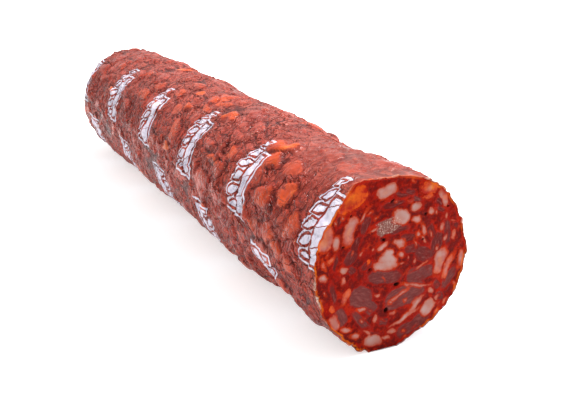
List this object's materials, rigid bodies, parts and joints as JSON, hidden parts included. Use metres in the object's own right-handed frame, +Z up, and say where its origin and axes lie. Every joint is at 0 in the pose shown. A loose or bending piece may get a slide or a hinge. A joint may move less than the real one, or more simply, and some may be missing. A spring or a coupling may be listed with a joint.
{
  "type": "cured sausage",
  "caption": "Half of a thick paprika-cured sausage lying on its side: coarse minced filling showing at the flat slice, in a thin casing gathered under a wire clip at the rounded end.",
  "frame": {"origin": "centre of the bounding box's lowest face, on the surface that the sausage lies on", "axes": "+X along the sausage towards its sliced face, +Z up, the clipped end at -X"},
  "size_m": [0.324, 0.061, 0.0612],
  "materials": {
    "printed_casing": "thin wrinkled casing over red meat, satin, with white printed marks",
    "cured_meat": "moist cut face of dark lean, cream fat and paprika-red paste",
    "clip_wire": "drawn wire, satin"
  },
  "bodies": {
    "root": {"casing": "printed_casing", "meat_filling": "cured_meat", "end_clip": "clip_wire"}
  },
  "joints": []
}
